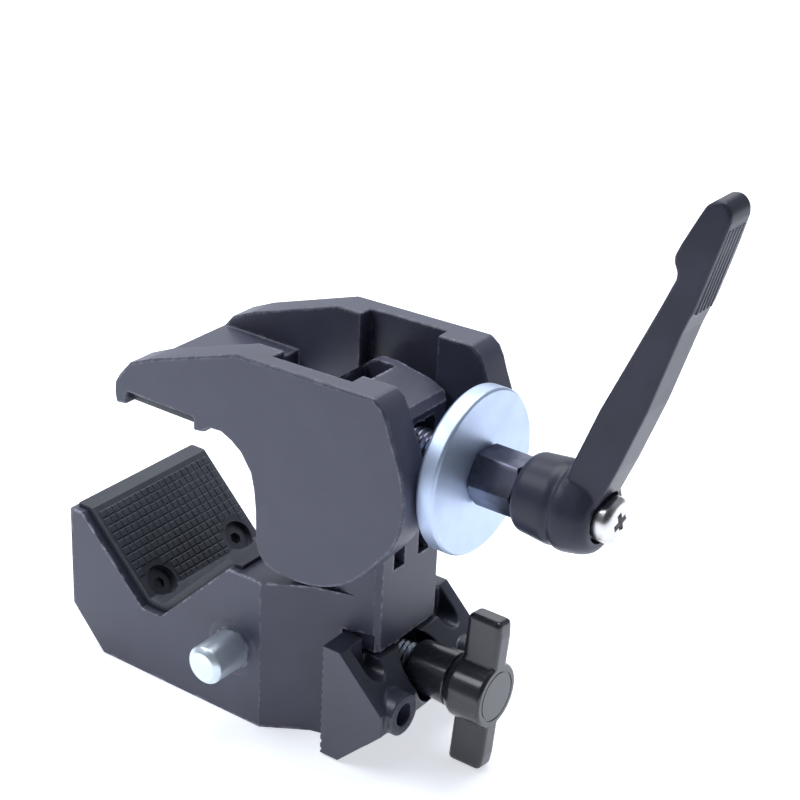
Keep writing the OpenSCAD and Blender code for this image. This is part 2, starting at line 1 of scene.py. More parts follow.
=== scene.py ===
import json
import math

import bmesh
import bpy
from mathutils import Matrix, Vector

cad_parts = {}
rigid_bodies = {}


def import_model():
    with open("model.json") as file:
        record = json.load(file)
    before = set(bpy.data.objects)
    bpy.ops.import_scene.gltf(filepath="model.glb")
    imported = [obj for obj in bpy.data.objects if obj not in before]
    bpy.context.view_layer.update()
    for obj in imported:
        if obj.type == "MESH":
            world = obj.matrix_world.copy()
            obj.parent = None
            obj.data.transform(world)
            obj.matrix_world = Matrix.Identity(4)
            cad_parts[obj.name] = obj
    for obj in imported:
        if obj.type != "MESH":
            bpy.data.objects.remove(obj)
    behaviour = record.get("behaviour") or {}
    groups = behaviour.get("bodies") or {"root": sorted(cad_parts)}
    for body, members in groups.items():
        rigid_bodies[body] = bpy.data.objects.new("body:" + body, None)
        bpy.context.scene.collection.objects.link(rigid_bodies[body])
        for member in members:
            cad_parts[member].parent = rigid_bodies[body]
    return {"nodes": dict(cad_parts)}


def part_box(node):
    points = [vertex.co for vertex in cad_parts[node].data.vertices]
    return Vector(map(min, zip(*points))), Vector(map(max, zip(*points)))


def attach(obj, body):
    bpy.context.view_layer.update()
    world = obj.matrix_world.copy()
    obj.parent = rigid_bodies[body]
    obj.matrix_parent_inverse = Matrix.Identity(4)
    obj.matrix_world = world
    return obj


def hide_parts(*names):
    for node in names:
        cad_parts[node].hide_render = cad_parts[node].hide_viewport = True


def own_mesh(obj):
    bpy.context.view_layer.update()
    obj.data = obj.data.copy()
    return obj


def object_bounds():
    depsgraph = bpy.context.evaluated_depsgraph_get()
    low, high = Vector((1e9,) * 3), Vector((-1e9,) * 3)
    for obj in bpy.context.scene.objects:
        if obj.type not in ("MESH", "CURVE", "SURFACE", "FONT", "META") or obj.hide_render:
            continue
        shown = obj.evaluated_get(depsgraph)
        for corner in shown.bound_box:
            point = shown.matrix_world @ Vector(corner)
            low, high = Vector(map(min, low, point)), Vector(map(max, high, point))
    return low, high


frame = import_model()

MM = 0.001
MM_PER_M = 1000.0
NODES = frame["nodes"]
cad_low, cad_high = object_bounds()


# ---------------------------------------------------------------- small tools

def span(node, axis):
    """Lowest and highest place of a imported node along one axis, in millimetres."""
    low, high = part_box(node)
    return low[axis] / MM, high[axis] / MM


def middle(node, axis):
    low, high = span(node, axis)
    return (low + high) / 2


def new_piece(name, mesh):
    obj = bpy.data.objects.new(name, mesh)
    bpy.context.scene.collection.objects.link(obj)
    return obj


def from_bmesh(name, bm):
    """Turns mesh code drawn in millimetres into an object in metres."""
    bmesh.ops.scale(bm, vec=(MM, MM, MM), verts=bm.verts)
    mesh = bpy.data.meshes.new(name)
    bm.to_mesh(mesh)
    bm.free()
    return new_piece(name, mesh)


def settle(obj):
    """Bakes an object's modifiers into a plain mesh."""
    depsgraph = bpy.context.evaluated_depsgraph_get()
    mesh = bpy.data.meshes.new_from_object(obj.evaluated_get(depsgraph))
    obj.modifiers.clear()
    obj.data = mesh
    return obj


def shade(obj, angle=35):
    """Smooth faces with crisp breaks at corners above the angle."""
    mesh = obj.data
    mesh.polygons.foreach_set("use_smooth", [True] * len(mesh.polygons))
    bm = bmesh.new()
    bm.from_mesh(mesh)
    limit = math.radians(angle)
    for edge in bm.edges:
        edge.smooth = len(edge.link_faces) == 2 and edge.calc_face_angle(0) < limit
    bm.to_mesh(mesh)
    bm.free()
    return obj


def even_normals(obj):
    """Keeps large flat faces flat beside their rounded corners."""
    mod = obj.modifiers.new("even", "WEIGHTED_NORMAL")
    mod.keep_sharp = True
    mod.weight = 80
    return settle(obj)


def bevel(obj, width, segments=3, angle=30):
    mod = obj.modifiers.new("round", "BEVEL")
    mod.width = width * MM
    mod.segments = segments
    mod.limit_method = "ANGLE"
    mod.angle_limit = math.radians(angle)
    mod.use_clamp_overlap = True
    return settle(obj)


def joined(name, parts):
    """One object made of several, each a closed shell."""
    bm = bmesh.new()
    for part in parts:
        bm.from_mesh(part.data)
    mesh = bpy.data.meshes.new(name)
    bm.to_mesh(mesh)
    bm.free()
    for part in parts:
        bpy.data.objects.remove(part)
    return new_piece(name, mesh)


def cut(obj, tool, how="DIFFERENCE"):
    mod = obj.modifiers.new("cut", "BOOLEAN")
    mod.operation = how
    mod.solver = "EXACT"
    mod.object = tool
    settle(obj)
    bpy.data.objects.remove(tool)
    return obj


def finish_piece(obj, body, slot, material, *nodes):
    obj.data.materials.clear()
    obj.data.materials.append(material)
    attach(obj, body)
    if nodes:
        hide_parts(*nodes)
    return obj


def rounded_profile(points, radii, steps=5):
    """Rounds the corners of an open [along, radius] line."""
    out = []
    for i, point in enumerate(points):
        r = radii.get(i, 0)
        if r == 0 or i in (0, len(points) - 1):
            out.append(tuple(point))
            continue
        here = Vector(point)
        back = Vector(points[i - 1]) - here
        ahead = Vector(points[i + 1]) - here
        reach = min(r, back.length * 0.49, ahead.length * 0.49)
        a = here + back.normalized() * reach
        b = here + ahead.normalized() * reach
        for k in range(steps + 1):
            t = k / steps
            p = a * (1 - t) ** 2 + here * 2 * t * (1 - t) + b * t ** 2
            out.append((p.x, p.y))
    return out


def lathe(name, profile, axis="X", centre=(0, 0, 0), steps=96):
    """Turns an [along, radius] line round X or Y; radius 0 closes an end."""
    bm = bmesh.new()
    rings = []
    for along, radius in profile:
        if radius < 1e-6:
            rings.append([bm.verts.new((along, 0, 0))])
            continue
        rings.append([
            bm.verts.new((along, radius * math.cos(2 * math.pi * k / steps),
                          radius * math.sin(2 * math.pi * k / steps)))
            for k in range(steps)])
    for low, high in zip(rings, rings[1:]):
        for k in range(steps):
            n = (k + 1) % steps
            if len(low) == 1 and len(high) == 1:
                continue
            if len(low) == 1:
                bm.faces.new((low[0], high[n], high[k]))
            elif len(high) == 1:
                bm.faces.new((low[k], low[n], high[0]))
            else:
                bm.faces.new((low[k], low[n], high[n], high[k]))
    if len(rings[0]) > 1 and len(rings[-1]) > 1:
        bmesh.ops.remove_doubles(bm, verts=bm.verts, dist=1e-5)
    turn = {"X": Matrix.Identity(3), "Y": Matrix(((0, -1, 0), (1, 0, 0), (0, 0, 1)))}[axis]
    bmesh.ops.transform(bm, matrix=turn.to_4x4(), verts=bm.verts)
    bmesh.ops.translate(bm, vec=centre, verts=bm.verts)
    bmesh.ops.recalc_face_normals(bm, faces=bm.faces)
    return from_bmesh(name, bm)


def slab(name, outline, y0, y1):
    """Side outline in [x, z], given thickness along Y."""
    bm = bmesh.new()
    near = [bm.verts.new((x, y0, z)) for x, z in outline]
    far = [bm.verts.new((x, y1, z)) for x, z in outline]
    bm.faces.new(near)
    bm.faces.new(list(reversed(far)))
    count = len(outline)
    for k in range(count):
        n = (k + 1) % count
        bm.faces.new((near[k], far[k], far[n], near[n]))
    bmesh.ops.recalc_face_normals(bm, faces=bm.faces)
    return from_bmesh(name, bm)


def block(size):
    """Mesh code for a box of the given size round the origin."""
    bm = bmesh.new()
    bmesh.ops.create_cube(bm, size=1)
    bmesh.ops.scale(bm, vec=size, verts=bm.verts)
    return bm


# ---------------------------------------------------------------- shader groups

def group_sockets(tree, inputs, outputs):
    for name, kind, value in inputs:
        sock = tree.interface.new_socket(name=name, in_out="INPUT", socket_type=kind)
        if value is not None:
            sock.default_value = value
    for name, kind in outputs:
        tree.interface.new_socket(name=name, in_out="OUTPUT", socket_type=kind)
    return tree.nodes.new("NodeGroupInput"), tree.nodes.new("NodeGroupOutput")


FLOAT = "NodeSocketFloat"
DUST_COLOUR = (0.32, 0.32, 0.33)


def maths(tree, how, a, b=None, clamp=False):
    node = tree.nodes.new("ShaderNodeMath")
    node.operation = how
    node.use_clamp = clamp
    for i, value in enumerate((a, b)):
        if value is None:
            continue
        if isinstance(value, (int, float)):
            node.inputs[i].default_value = value
        else:
            tree.links.new(value, node.inputs[i])
    return node.outputs[0]


def noise(tree, coords, scale, detail=4.0, rough=0.55):
    node = tree.nodes.new("ShaderNodeTexNoise")
    node.inputs["Detail"].default_value = detail
    node.inputs["Roughness"].default_value = rough
    tree.links.new(coords, node.inputs["Vector"])
    if isinstance(scale, (int, float)):
        node.inputs["Scale"].default_value = scale
    else:
        tree.links.new(scale, node.inputs["Scale"])
    return node.outputs["Fac"]


def cells(tree, size_mm):
    """Noise scale that gives features of a size in millimetres."""
    return maths(tree, "DIVIDE", MM_PER_M, size_mm)


def smoothstep(tree, value, low, high):
    node = tree.nodes.new("ShaderNodeMapRange")
    node.interpolation_type = "SMOOTHSTEP"
    tree.links.new(value, node.inputs["Value"])
    for name, bound in (("From Min", low), ("From Max", high)):
        if isinstance(bound, (int, float)):
            node.inputs[name].default_value = bound
        else:
            tree.links.new(bound, node.inputs[name])
    return node.outputs["Result"]


def make_grain_group():
    """Fine skin of a coated casting or moulding: a height and a patchy mask."""
    tree = bpy.data.node_groups.new("skin_grain", "ShaderNodeTree")
    first, last = group_sockets(
        tree,
        [("Grain size mm", FLOAT, 0.35), ("Patch size mm", FLOAT, 9.0)],
        [("Height", FLOAT), ("Patches", FLOAT)])
    coords = tree.nodes.new("ShaderNodeTexCoord").outputs["Object"]
    fine = noise(tree, coords, cells(tree, first.outputs["Grain size mm"]), 3.0, 0.6)
    broad = noise(tree, coords, cells(tree, first.outputs["Patch size mm"]), 3.0, 0.5)
    tree.links.new(fine, last.inputs["Height"])
    tree.links.new(broad, last.inputs["Patches"])
    return tree


def make_wear_and_highlight_group():
    """Coat rubbed thin along corners, broken up by noise; the same corner mask also carries a painted
    highlight along the arrises.
    """
    tree = bpy.data.node_groups.new("corner_wear_and_highlight", "ShaderNodeTree")
    first, last = group_sockets(
        tree,
        [("Reach mm", FLOAT, 0.6), ("Breakup mm", FLOAT, 2.0), ("Amount", FLOAT, 1.0)],
        [("Mask", FLOAT)])
    edge = tree.nodes.new("ShaderNodeBevel")
    edge.samples = 6
    tree.links.new(maths(tree, "MULTIPLY", first.outputs["Reach mm"], MM), edge.inputs["Radius"])
    plain = tree.nodes.new("ShaderNodeNewGeometry")
    dot = tree.nodes.new("ShaderNodeVectorMath")
    dot.operation = "DOT_PRODUCT"
    tree.links.new(edge.outputs["Normal"], dot.inputs[0])
    tree.links.new(plain.outputs["Normal"], dot.inputs[1])
    bent = maths(tree, "SUBTRACT", 1.0, dot.outputs["Value"])
    corner = smoothstep(tree, bent, 0.015, 0.12)
    coords = tree.nodes.new("ShaderNodeTexCoord").outputs["Object"]
    patch = noise(tree, coords, cells(tree, first.outputs["Breakup mm"]), 5.0, 0.65)
    broken = smoothstep(tree, patch, 0.42, 0.62)
    mask = maths(tree, "MULTIPLY", maths(tree, "MULTIPLY", corner, broken),
                 first.outputs["Amount"], clamp=True)
    tree.links.new(mask, last.inputs["Mask"])
    return tree


def make_dust_group():
    """Thin dust that gathers on faces that look up."""
    tree = bpy.data.node_groups.new("settled_dust", "ShaderNodeTree")
    first, last = group_sockets(
        tree, [("Amount", FLOAT, 0.3), ("Fleck mm", FLOAT, 0.8)], [("Mask", FLOAT)])
    face = tree.nodes.new("ShaderNodeNewGeometry")
    split = tree.nodes.new("ShaderNodeSeparateXYZ")
    tree.links.new(face.outputs["Normal"], split.inputs[0])
    up = smoothstep(tree, split.outputs["Z"], 0.2, 1.0)
    coords = tree.nodes.new("ShaderNodeTexCoord").outputs["Object"]
    spots = noise(tree, coords, cells(tree, first.outputs["Fleck mm"]), 6.0, 0.7)
    flecks = smoothstep(tree, spots, 0.5, 0.75)
    veil = noise(tree, coords, 90.0, 3.0)
    mixed = maths(tree, "ADD",
                  maths(tree, "MULTIPLY", flecks, 0.6), maths(tree, "MULTIPLY", veil, 0.4))
    tree.links.new(maths(tree, "MULTIPLY", maths(tree, "MULTIPLY", up, mixed),
                         first.outputs["Amount"], clamp=True), last.inputs["Mask"])
    return tree


def make_turned_group():
    """Fine rings left by a lathe round an axis along X, as a height."""
    tree = bpy.data.node_groups.new("turned_rings", "ShaderNodeTree")
    first, last = group_sockets(
        tree,
        [("Centre Y mm", FLOAT, 0.0), ("Centre Z mm", FLOAT, 0.0), ("Pitch mm", FLOAT, 0.25)],
        [("Height", FLOAT), ("Tint", FLOAT)])
    coords = tree.nodes.new("ShaderNodeTexCoord").outputs["Object"]
    split = tree.nodes.new("ShaderNodeSeparateXYZ")
    tree.links.new(coords, split.inputs[0])
    squares = []
    for axis in ("Y", "Z"):
        place = maths(tree, "MULTIPLY", split.outputs[axis], MM_PER_M)
        away = maths(tree, "SUBTRACT", place, first.outputs[f"Centre {axis} mm"])
        squares.append(maths(tree, "MULTIPLY", away, away))
    radius = maths(tree, "SQRT", maths(tree, "ADD", *squares))
    ring = maths(tree, "DIVIDE", radius, first.outputs["Pitch mm"])
    line = tree.nodes.new("ShaderNodeTexNoise")
    line.noise_dimensions = "1D"
    line.inputs["Scale"].default_value = 1.0
    line.inputs["Detail"].default_value = 3.0
    tree.links.new(ring, line.inputs["W"])
    tree.links.new(line.outputs["Fac"], last.inputs["Height"])
    tree.links.new(noise(tree, coords, 160.0, 4.0), last.inputs["Tint"])
    return tree


GRAIN = make_grain_group()
WEAR_AND_HIGHLIGHT = make_wear_and_highlight_group()
DUST = make_dust_group()
TURNED = make_turned_group()


def use(tree, group, **values):
    node = tree.nodes.new("ShaderNodeGroup")
    node.node_tree = group
    for name, value in values.items():
        node.inputs[name.replace("_", " ")].default_value = value
    return node


def mix(tree, factor, a, b):
    node = tree.nodes.new("ShaderNodeMix")
    node.data_type = "RGBA"
    tree.links.new(factor, node.inputs["Factor"])
    for sock, value in ((node.inputs["A"], a), (node.inputs["B"], b)):
        if isinstance(value, tuple):
            sock.default_value = (*value, 1.0)
        else:
            tree.links.new(value, sock)
    return node.outputs["Result"]


def blank_material(name):
    mat = bpy.data.materials.new(name)
    mat.use_nodes = True
    tree = mat.node_tree
    return mat, tree, tree.nodes["Principled BSDF"]


def bump(tree, shader, height, strength, distance_mm):
    node = tree.nodes.new("ShaderNodeBump")
    node.inputs["Strength"].default_value = strength
    node.inputs["Distance"].default_value = distance_mm * MM
    tree.links.new(height, node.inputs["Height"])
    tree.links.new(node.outputs["Normal"], shader.inputs["Normal"])


def coated(name, base, patchy, worn_and_highlight_colour, rough, grain_mm, grain_depth, wear_and_highlight, dust, coat=0.0, coat_rough=0.3,
           wear_and_highlight_reach=0.6, specular=0.5):
    """Paint or plastic: a dark colour with patches, corners lightened by wear and by a painted highlight,
    dust and a fine skin.
    """
    mat, tree, shader = blank_material(name)
    grain = use(tree, GRAIN, Grain_size_mm=grain_mm)
    corners = use(tree, WEAR_AND_HIGHLIGHT, Amount=wear_and_highlight, Reach_mm=wear_and_highlight_reach)
    settled = use(tree, DUST, Amount=dust)
    colour = mix(tree, smoothstep(tree, grain.outputs["Patches"], 0.3, 0.7), base, patchy)
    # corners lightened: partly coat wear, partly painted highlight on the arrises
    colour = mix(tree, corners.outputs["Mask"], colour, worn_and_highlight_colour)
    colour = mix(tree, settled.outputs["Mask"], colour, DUST_COLOUR)
    tree.links.new(colour, shader.inputs["Base Color"])
    roughness = maths(tree, "ADD", rough - 0.06,
                      maths(tree, "MULTIPLY", grain.outputs["Patches"], 0.12))
    roughness = maths(tree, "ADD", roughness,
                      maths(tree, "MULTIPLY", settled.outputs["Mask"], 0.3), clamp=True)
    tree.links.new(roughness, shader.inputs["Roughness"])
    shader.inputs["Coat Weight"].default_value = coat
    shader.inputs["Coat Roughness"].default_value = coat_rough
    shader.inputs["Specular IOR Level"].default_value = specular
    bump(tree, shader, grain.outputs["Height"], grain_depth, 0.12)
    return mat


def metal(name, base, tint, rough, rings=None, grain_depth=0.1, metallic=1.0):
    """Bare or plated steel: turned rings or a drawn grain, slightly uneven."""
    mat, tree, shader = blank_material(name)
    grain = use(tree, GRAIN, Grain_size_mm=0.25, Patch_size_mm=5.0)
    colour = mix(tree, smoothstep(tree, grain.outputs["Patches"], 0.35, 0.65), base, tint)
    tree.links.new(colour, shader.inputs["Base Color"])
    shader.inputs["Metallic"].default_value = metallic
    roughness = maths(tree, "ADD", rough - 0.04,
                      maths(tree, "MULTIPLY", grain.outputs["Patches"], 0.1), clamp=True)
    tree.links.new(roughness, shader.inputs["Roughness"])
    height = grain.outputs["Height"]
    if rings:
        turned = use(tree, TURNED, Centre_Y_mm=rings[0], Centre_Z_mm=rings[1])
        height = maths(tree, "ADD", maths(tree, "MULTIPLY", height, 0.2), turned.outputs["Height"])
    bump(tree, shader, height, grain_depth, 0.05)
    return mat


SPINDLE_Z = middle("spindle", 2)
PIN_Z = middle("release_pin", 2)
SCREW_Z = middle("wing_screw", 2)

# the third colour of each coated finish is its lighter corner colour: coat wear and painted highlight
CAST = coated("cast_coated", (0.043, 0.045, 0.075), (0.051, 0.053, 0.087), (0.33, 0.34, 0.40),
              0.42, 0.45, 0.25, 0.9, 0.10, wear_and_highlight_reach=1.3, specular=0.5)
PAD = coated("grip_pad", (0.024, 0.027, 0.040), (0.030, 0.034, 0.048), (0.12, 0.13, 0.16),
             0.5, 0.3, 0.3, 0.35, 0.10)
LEVER = coated("lever_black", (0.026, 0.027, 0.044), (0.033, 0.035, 0.054), (0.16, 0.16, 0.20),
               0.34, 0.9, 0.15, 0.35, 0.05, specular=0.22)
WEDGE = coated("wedge_black", (0.033, 0.036, 0.058), (0.040, 0.044, 0.069), (0.16, 0.16, 0.19),
               0.36, 0.4, 0.25, 0.45, 0.08, coat=0.15, coat_rough=0.2)
WING = coated("wing_black", (0.020, 0.021, 0.030), (0.026, 0.027, 0.038), (0.12, 0.12, 0.14),
              0.26, 1.2, 0.08, 0.35, 0.05, coat=0.35, coat_rough=0.12, specular=0.45)
WASHER = metal("zinc_turned", (0.52, 0.62, 0.80), (0.50, 0.59, 0.77), 0.42, (0.0, SPINDLE_Z), 0.2,
               metallic=0.85)
ZINC = metal("zinc_plain", (0.50, 0.54, 0.62), (0.42, 0.46, 0.54), 0.28)
NICKEL = metal("nickel", (0.66, 0.65, 0.66), (0.58, 0.57, 0.58), 0.24)
BLACK_OXIDE = metal("black_oxide", (0.07, 0.072, 0.09), (0.09, 0.092, 0.11), 0.38, metallic=0.85)
STEEL = metal("worn_dark_steel", (0.17, 0.18, 0.24), (0.10, 0.105, 0.14), 0.3, grain_depth=0.15)
ZINC_PIN = metal("zinc_pin", (0.74, 0.82, 0.90), (0.66, 0.74, 0.83), 0.34, metallic=0.75)
SPRING = metal("spring_wire", (0.30, 0.30, 0.33), (0.24, 0.24, 0.26), 0.32)


# ---------------------------------------------------------------- stage

FLOOR_HALF_MM = 4000
FLOOR_GAP = 0.0001
FLOOR_GLOW = 0.64
ROOM_LIGHT = 0.34
ROOM_SHADE = 0.06
DARK_SIDE = (0.6, -0.78, 0.2)
COOL_WHITE = (0.93, 0.96, 1.0)
KEY_WHITE = (0.90, 0.94, 1.0)
LIGHT_AIM = Vector((0, 0, 0.05))

CAMERA_AZIMUTH = math.radians(34.884)
CAMERA_ELEVATION = math.radians(25.517)
CAMERA_ROLL = math.radians(2.612)
CAMERA_AIM_MM = (7.2, 14.683, 70.235)
CAMERA_AWAY = 0.41708
CAMERA_LENS = 86.437


def build_stage():
    mat, tree, shader = blank_material("pale_floor")
    coords = tree.nodes.new("ShaderNodeTexCoord").outputs["Object"]
    cloud = noise(tree, coords, 3.0, 2.0)
    paper = mix(tree, cloud, (0.86, 0.88, 0.93), (0.88, 0.90, 0.95))
    tree.links.new(paper, shader.inputs["Base Color"])
    shader.inputs["Emission Color"].default_value = (0.94, 0.96, 1.0, 1.0)
    shader.inputs["Emission Strength"].default_value = FLOOR_GLOW
    shader.inputs["Roughness"].default_value = 0.7
    bm = bmesh.new()
    bmesh.ops.create_grid(bm, x_segments=2, y_segments=2, size=FLOOR_HALF_MM)
    floor = from_bmesh("pale_floor", bm)
    floor.location.z = cad_low.z - FLOOR_GAP
    floor.data.materials.append(mat)


def build_lights():
    bpy.context.scene.view_settings.view_transform = "Standard"
    world = bpy.data.worlds.new("studio")
    bpy.context.scene.world = world
    world.use_nodes = True
    tree = world.node_tree
    back = tree.nodes["Background"]
    back.inputs["Color"].default_value = (*KEY_WHITE, 1.0)
    # the room is darker on the side the object is looked at from
    look = tree.nodes.new("ShaderNodeTexCoord").outputs["Generated"]
    dot = tree.nodes.new("ShaderNodeVectorMath")
    dot.operation = "DOT_PRODUCT"
    tree.links.new(look, dot.inputs[0])
    dot.inputs[1].default_value = DARK_SIDE
    facing = smoothstep(tree, dot.outputs["Value"], 0.1, 0.9)
    drop = maths(tree, "MULTIPLY", facing, ROOM_LIGHT - ROOM_SHADE)
    tree.links.new(maths(tree, "SUBTRACT", ROOM_LIGHT, drop), back.inputs["Strength"])

    def softbox(name, place, size, power, colour):
        data = bpy.data.lights.new(name, "AREA")
        data.shape = "RECTANGLE"
        data.size, data.size_y = size
        data.energy = power
        data.color = colour
        lamp = bpy.data.objects.new(name, data)
        lamp.location = place
        lamp.rotation_euler = (LIGHT_AIM - Vector(place)).to_track_quat("-Z", "Y").to_euler()
        bpy.context.scene.collection.objects.link(lamp)

    softbox("top_softbox", (-0.12, 0.22, 0.85), (0.7, 0.55), 7.5, COOL_WHITE)
    softbox("back_softbox", (-0.62, 0.88, 0.52), (1.0, 0.5), 1.9, COOL_WHITE)
    softbox("key_softbox", (-0.52, -0.41, 0.74), (0.6, 0.3), 3.4, KEY_WHITE)


def build_camera():
    aim = Vector(CAMERA_AIM_MM) * MM
    back = Vector((math.sin(CAMERA_AZIMUTH) * math.cos(CAMERA_ELEVATION),
                   -math.cos(CAMERA_AZIMUTH) * math.cos(CAMERA_ELEVATION),
                   math.sin(CAMERA_ELEVATION)))
    right = Vector((math.cos(CAMERA_AZIMUTH), math.sin(CAMERA_AZIMUTH), 0))
    up = back.cross(right)
    tilted_right = right * math.cos(CAMERA_ROLL) + up * math.sin(CAMERA_ROLL)
    tilted_up = -right * math.sin(CAMERA_ROLL) + up * math.cos(CAMERA_ROLL)
    data = bpy.data.cameras.new("studio_camera")
    data.sensor_width = 36
    data.lens = CAMERA_LENS
    data.clip_start, data.clip_end = 0.01, 50
    camera = bpy.data.objects.new("studio_camera", data)
    turn = Matrix((tilted_right, tilted_up, back)).transposed().to_4x4()
    camera.matrix_world = Matrix.Translation(aim + back * CAMERA_AWAY) @ turn
    bpy.context.scene.collection.objects.link(camera)
    bpy.context.scene.camera = camera


# ---------------------------------------------------------------- geometry node trees

VECTOR = "NodeSocketVector"
WHOLE = "NodeSocketInt"
FINISH = "NodeSocketMaterial"


class Rule:
    """A geometry node tree with named inputs, which ends in realised plain mesh."""

    def __init__(self, name, inputs):
        self.tree = bpy.data.node_groups.new(name, "GeometryNodeTree")
        face = self.tree.interface
        face.new_socket(name="Geometry", in_out="INPUT", socket_type="NodeSocketGeometry")
        self.ids = {}
        for title, kind in [*inputs, ("Finish", FINISH)]:
            self.ids[title] = face.new_socket(name=title, in_out="INPUT", socket_type=kind).identifier
        face.new_socket(name="Geometry", in_out="OUTPUT", socket_type="NodeSocketGeometry")
        self.first = self.tree.nodes.new("NodeGroupInput")
        self.last = self.tree.nodes.new("NodeGroupOutput")

    def node(self, kind, links=(), **fixed):
        made = self.tree.nodes.new(kind)
        for key, value in fixed.items():
            setattr(made, key, value)
        for sock, source in dict(links).items():
            if isinstance(source, bpy.types.NodeSocket):
                self.tree.links.new(source, made.inputs[sock])
            else:
                made.inputs[sock].default_value = source
        return made

    def value(self, title):
        return self.first.outputs[title]

    def end(self, geometry):
        plain = self.node("GeometryNodeRealizeInstances", {"Geometry": geometry})
        dressed = self.node("GeometryNodeSetMaterial",
                            {"Geometry": plain.outputs[0], "Material": self.value("Finish")})
        self.tree.links.new(dressed.outputs[0], self.last.inputs[0])
        return self

    def apply(self, obj, finish, **values):
        mod = obj.modifiers.new("rule", "NODES")
        mod.node_group = self.tree
        mod[self.ids["Finish"]] = finish
        for title, value in values.items():
            mod[self.ids[title.replace("_", " ")]] = value
        return settle(obj)


def empty_mesh(name):
    return new_piece(name, bpy.data.meshes.new(name))


def make_thread_rule():
    """Screw thread: rings of a plain bar are drawn in along a helix round X."""
    rule = Rule("screw_thread", [("Pitch", FLOAT), ("Depth", FLOAT), ("Centre", VECTOR),
                                 ("From", FLOAT), ("To", FLOAT)])
    place = rule.node("GeometryNodeInputPosition").outputs[0]
    arm = rule.node("ShaderNodeVectorMath", {0: place, 1: rule.value("Centre")}, operation="SUBTRACT")
    split = rule.node("ShaderNodeSeparateXYZ", {0: arm.outputs[0]})
    along = rule.node("ShaderNodeSeparateXYZ", {0: place}).outputs["X"]
    turn = maths(rule.tree, "DIVIDE",
                 maths(rule.tree, "ARCTAN2", split.outputs["Z"], split.outputs["Y"]), 2 * math.pi)
    phase = maths(rule.tree, "FRACT", maths(
        rule.tree, "ADD", maths(rule.tree, "SUBTRACT", maths(
            rule.tree, "DIVIDE", along, rule.value("Pitch")), turn), 100.0))
    wave = maths(rule.tree, "MULTIPLY",
                 maths(rule.tree, "ABSOLUTE", maths(rule.tree, "SUBTRACT", phase, 0.5)), 2.0)
    inside = maths(rule.tree, "MULTIPLY",
                   maths(rule.tree, "GREATER_THAN", along, rule.value("From")),
                   maths(rule.tree, "LESS_THAN", along, rule.value("To")))
    depth = maths(rule.tree, "MULTIPLY", maths(rule.tree, "MULTIPLY", wave, inside), rule.value("Depth"))
    flat = rule.node("ShaderNodeCombineXYZ", {"Y": split.outputs["Y"], "Z": split.outputs["Z"]})
    outward = rule.node("ShaderNodeVectorMath", {0: flat.outputs[0]}, operation="NORMALIZE")
    inward = rule.node("ShaderNodeVectorMath", {0: outward.outputs[0], "Scale": maths(
        rule.tree, "MULTIPLY", depth, -1.0)}, operation="SCALE")
    moved = rule.node("GeometryNodeSetPosition",
                      {"Geometry": rule.value("Geometry"), "Offset": inward.outputs[0]})
    return rule.end(moved.outputs[0])


def make_coil_rule():
    """Open coil spring, wound along its own Z and then laid where it works."""
    rule = Rule("coil_spring", [("Turns", FLOAT), ("Radius", FLOAT), ("Length", FLOAT), ("Wire", FLOAT),
                                ("Turned", VECTOR), ("Place", VECTOR)])
    spiral = rule.node("GeometryNodeCurveSpiral", {
        "Resolution": 28, "Rotations": rule.value("Turns"), "Start Radius": rule.value("Radius"),
        "End Radius": rule.value("Radius"), "Height": rule.value("Length")})
    ring = rule.node("GeometryNodeCurvePrimitiveCircle", {
        "Resolution": 10, "Radius": maths(rule.tree, "MULTIPLY", rule.value("Wire"), 0.5)})
    wire = rule.node("GeometryNodeCurveToMesh", {
        "Curve": spiral.outputs[0], "Profile Curve": ring.outputs[0], "Fill Caps": True})
    laid = rule.node("GeometryNodeTransform", {
        "Geometry": wire.outputs[0], "Rotation": rule.value("Turned"), "Translation": rule.value("Place")})
    return rule.end(laid.outputs[0])


def make_field_rule():
    """Field of small moulded studs on a flat face, left out round two screw holes."""
    rule = Rule("grip_studs", [
        ("Length", FLOAT), ("Width", FLOAT), ("Rows", WHOLE), ("Columns", WHOLE), ("Foot", FLOAT),
        ("Top", FLOAT), ("Height", FLOAT), ("Hole A", VECTOR), ("Hole B", VECTOR), ("Clear", FLOAT),
        ("Turned", VECTOR), ("Place", VECTOR)])
    grid = rule.node("GeometryNodeMeshGrid", {
        "Size X": rule.value("Length"), "Size Y": rule.value("Width"),
        "Vertices X": rule.value("Rows"), "Vertices Y": rule.value("Columns")})
    stud = rule.node("GeometryNodeMeshCone", {
        "Vertices": 4, "Radius Bottom": rule.value("Foot"), "Radius Top": rule.value("Top"),
        "Depth": rule.value("Height")})
    square = rule.node("GeometryNodeTransform", {
        "Geometry": stud.outputs["Mesh"], "Rotation": (0, 0, math.radians(45))})
    place = rule.node("GeometryNodeInputPosition").outputs[0]
    far = []
    for hole in ("Hole A", "Hole B"):
        gap = rule.node("ShaderNodeVectorMath", {0: place, 1: rule.value(hole)}, operation="DISTANCE")
        far.append(maths(rule.tree, "GREATER_THAN", gap.outputs["Value"], rule.value("Clear")))
    dotted = rule.node("GeometryNodeInstanceOnPoints", {
        "Points": grid.outputs["Mesh"], "Instance": square.outputs[0],
        "Selection": maths(rule.tree, "MULTIPLY", far[0], far[1])})
    laid = rule.node("GeometryNodeTransform", {
        "Geometry": dotted.outputs[0], "Rotation": rule.value("Turned"),
        "Translation": rule.value("Place")})
    return rule.end(laid.outputs[0])


